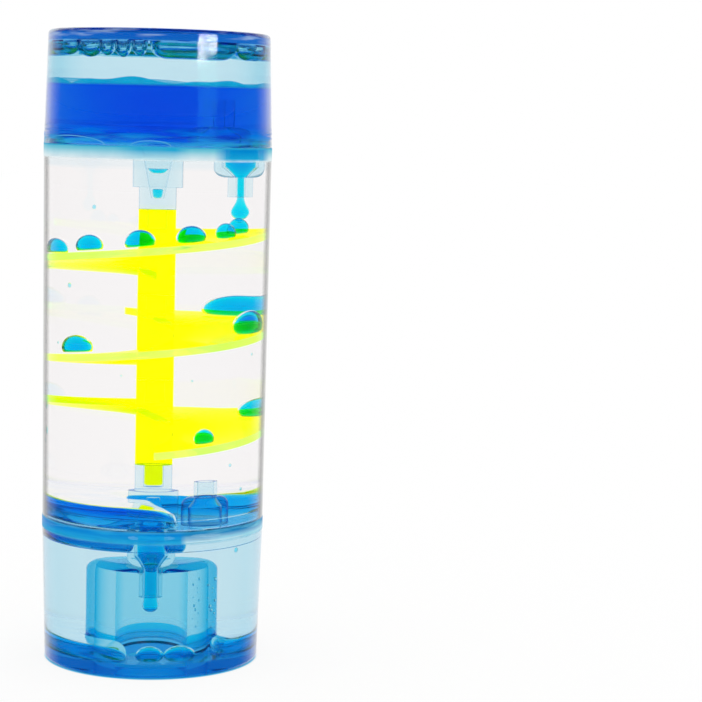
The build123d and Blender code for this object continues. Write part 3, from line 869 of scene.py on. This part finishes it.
# Lower pool round the boss, open at the front, with blobs there that have not joined it yet: angle and half
# width of each
lower_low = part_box("lower_blue_pool")[0]
LOWER_START = -395.0
LOWER_END = -107.0
LOWER_INNER = BOSS_RADIUS + 0.2 * MM
LOWER_OUTER = 22.2 * MM
LOWER_HEIGHT = 3.4 * MM
LOWER_NOSE = 6 * MM
BLOBS = ((-91.0, 2.9 * MM), (-71.0, 3.3 * MM))
BLOB_DISTANCE = 17.8 * MM
BLOB_HEIGHT = 3.4 * MM
piece("lower_pool", *slug_skin(
    LOWER_START, LOWER_END, LOWER_INNER, LOWER_OUTER, lower_low.z, LOWER_HEIGHT, LOWER_NOSE,
), base_blue, "shell", ("lower_blue_pool",))
skins = []
for angle, half in BLOBS:
    foot = outward(angle) * BLOB_DISTANCE + UP * lower_low.z
    skins.append(drop_skin(foot, UP, outward(angle), half, BLOB_HEIGHT))
piece("lower_blobs", *together(skins), drop_blue)

# Air bubbles under the lid: start and end angle, inner radius, depth
LID_FACE = HEIGHT - LID - LIQUID_GAP
BUBBLES = (
    (-175.0, -146.0, 15.0 * MM, 3.2 * MM),
    (-145.5, -127.0, 15.0 * MM, 3.6 * MM),
    (-126.5, -117.0, 17.5 * MM, 3.3 * MM),
    (-116.5, -106.8, 17.5 * MM, 3.6 * MM),
    (-106.3, -97.0, 17.5 * MM, 3.3 * MM),
    (-96.5, -38.0, 12.0 * MM, 3.8 * MM),
    (-37.5, -8.0, 15.0 * MM, 3.5 * MM),
    (-7.0, 60.0, 12.0 * MM, 3.4 * MM),
    (61.0, 120.0, 12.0 * MM, 3.3 * MM),
    (121.0, 184.0, 12.0 * MM, 3.4 * MM),
)
BUBBLE_EDGE = 22.2 * MM
BUBBLE_NOSE = 3.5 * MM
skins = []
for start, end, inner, depth in BUBBLES:
    nose = min(BUBBLE_NOSE, 0.5 * math.radians(end - start) * (inner + BUBBLE_EDGE) / 2)
    skins.append(slug_skin(start, end, inner, BUBBLE_EDGE, LID_FACE, -depth, nose, corner=depth, steps=64))
piece("lid_bubbles", *together(skins), bubble_air, slot="clear_plastic")

# Specks of blue on the walls: angle, level, half height
SPECKS = (
    (-125.0, 104.9 * MM, 0.5 * MM), (-142.0, 87.2 * MM, 0.55 * MM), (-45.0, 47.4 * MM, 0.4 * MM),
    (-167.5, 59.0 * MM, 0.8 * MM), (-167.0, 53.3 * MM, 0.9 * MM), (-169.0, 50.9 * MM, 0.6 * MM),
    (-28.0, 72.0 * MM, 0.35 * MM), (-152.0, 74.0 * MM, 0.35 * MM), (65.0, 92.0 * MM, 0.5 * MM),
    (120.0, 64.0 * MM, 0.6 * MM), (-108.0, 68.0 * MM, 0.25 * MM), (-70.0, 67.0 * MM, 0.3 * MM),
    (-38.8, 27.7 * MM, 0.6 * MM), (-36.0, 41.6 * MM, 0.4 * MM),
)
SPECK_DISTANCE = BORE_RADIUS - 0.3 * MM
SPECK_DEPTH = 0.6
skins = []
for angle, level, half in SPECKS:
    out = outward(angle)
    place = out * SPECK_DISTANCE + UP * level
    skins.append(drop_skin(place, -out, UP, half, SPECK_DEPTH * half, 20, 10))
piece("wall_specks", *together(skins), drop_blue)

# Small air bubbles that cling to the right of the boss, one above the other, uneven in place and size
BOSS_BUBBLES = 12
BOSS_BUBBLE_ANGLE = -16
BOSS_BUBBLE_SWING = 8
BOSS_BUBBLE_DISTANCE = BOSS_RADIUS + 0.03 * MM
BOSS_BUBBLE_LOWEST = 8.5 * MM
BOSS_BUBBLE_STEP = 1.0 * MM
BOSS_BUBBLE_HALF = 0.26 * MM
BOSS_BUBBLE_UNEVEN = 0.12 * MM
BOSS_BUBBLE_DEPTH = 1.3
PLACE_TURN = 2.4
SIZE_TURN = 5.3
skins = []
for i in range(BOSS_BUBBLES):
    out = outward(BOSS_BUBBLE_ANGLE + BOSS_BUBBLE_SWING * math.sin(PLACE_TURN * i))
    place = out * BOSS_BUBBLE_DISTANCE + UP * (BOSS_BUBBLE_LOWEST + BOSS_BUBBLE_STEP * i)
    half = BOSS_BUBBLE_HALF + BOSS_BUBBLE_UNEVEN * math.sin(SIZE_TURN * i)
    skins.append(drop_skin(place, out, UP, half, BOSS_BUBBLE_DEPTH * half, 16, 10))
piece("boss_bubbles", *together(skins), bubble_air, slot="clear_plastic")

# White floor, with blue light painted where the base covers it; its light is just over 1, so that it shows as
# white
FLOOR_HALF = 4.0
FLOOR_LEVEL = -0.05 * MM
FLOOR_GLOW = 1.009
FLOOR_GLOW_SHARE = 0.85
FLOOR_CORNERS = ((-1, -1), (1, -1), (1, 1), (-1, 1))
floor_mesh = bpy.data.meshes.new("floor")
corners = [(FLOOR_HALF * x, FLOOR_HALF * y, FLOOR_LEVEL) for x, y in FLOOR_CORNERS]
floor_mesh.from_pydata(corners, [], [(0, 1, 2, 3)])
floor = bpy.data.objects.new("floor", floor_mesh)
bpy.context.scene.collection.objects.link(floor)
paper = Material("pale_floor")
path = paper.node("LightPath").outputs
seen = paper.any_of(path["Is Camera Ray"], path["Is Transmission Ray"], path["Is Glossy Ray"])
plain = paper.node("BsdfDiffuse", {"Color": (0.95, 0.95, 0.95, 1)})
# Painted light: under the base the floor glows blue, as if lit through the blue base
covered = paper.ramp(paper.radius, FOOT_RADIUS - 1.2 * MM, FOOT_RADIUS - 0.7 * MM, 1.0, 0.0)
floor_light_colour = paper.blend(covered, (1, 1, 1), (0.02, 0.42, 0.74))
white = paper.node("Emission", {"Color": floor_light_colour, "Strength": FLOOR_GLOW})
glow_share = paper.math("MULTIPLY", seen, FLOOR_GLOW_SHARE)
paper.surface(paper.layer(glow_share, plain.outputs["BSDF"], white.outputs["Emission"]))
floor_mesh.materials.append(paper.material)

# White studio all round
world = bpy.data.worlds.new("studio")
bpy.context.scene.world = world
world.use_nodes = True
world.node_tree.nodes["Background"].inputs["Color"].default_value = (1, 1, 1, 1)
world.node_tree.nodes["Background"].inputs["Strength"].default_value = 1.0

# Softboxes that show only as reflections, a thin bright one and a faint teal one below it: name, lower and
# upper level, power, colour
SOFTBOX_PLACE = Vector((0.6, -0.523, 0.0))
SOFTBOX_WIDTH = 0.3
SOFTBOX_EDGE = 0.2025
SOFTBOXES = (
    ("softbox_high", SOFTBOX_EDGE, 0.22, 2.0, (1.0, 1.0, 1.0)),
    ("softbox_low", 0.13, SOFTBOX_EDGE, 0.6, (0.1, 1.0, 0.6)),
)
for label, low, high, power, colour in SOFTBOXES:
    softbox_data = bpy.data.lights.new(label, "AREA")
    softbox_data.shape = "RECTANGLE"
    softbox_data.size = SOFTBOX_WIDTH
    softbox_data.size_y = high - low
    softbox_data.energy = power
    softbox_data.color = colour
    softbox = bpy.data.objects.new(label, softbox_data)
    bpy.context.scene.collection.objects.link(softbox)
    softbox.location = SOFTBOX_PLACE + Vector((0, 0, (low + high) / 2))
    softbox.rotation_euler = (-SOFTBOX_PLACE).to_track_quat("-Z", "Y").to_euler()
    softbox.visible_diffuse = False
    softbox.visible_transmission = False
    softbox.visible_camera = False

# Camera
DISTANCE = 0.5
CAMERA_HEIGHT = 0.12479
LENS = 111.21
SENSOR = 36.0
YAW = math.radians(5.183)
PITCH = math.radians(6.023)
ROLL = math.radians(1.407)
camera_data = bpy.data.cameras.new("camera")
camera_data.lens = LENS
camera_data.sensor_width = SENSOR
camera = bpy.data.objects.new("camera", camera_data)
bpy.context.scene.collection.objects.link(camera)
forward = Vector((math.sin(YAW) * math.cos(PITCH), math.cos(YAW) * math.cos(PITCH), -math.sin(PITCH)))
right = forward.cross(UP).normalized()
up = right.cross(forward)
right, up = right * math.cos(ROLL) + up * math.sin(ROLL), up * math.cos(ROLL) - right * math.sin(ROLL)
turn = Matrix((right, up, -forward)).transposed().to_4x4()
camera.matrix_world = Matrix.Translation((0, -DISTANCE, CAMERA_HEIGHT)) @ turn
bpy.context.scene.camera = camera

# Display and light paths long enough for the nested clear walls
scene = bpy.context.scene
scene.view_settings.view_transform = "Standard"
scene.cycles.max_bounces = 40
scene.cycles.transmission_bounces = 40
scene.cycles.glossy_bounces = 16
scene.cycles.transparent_max_bounces = 32
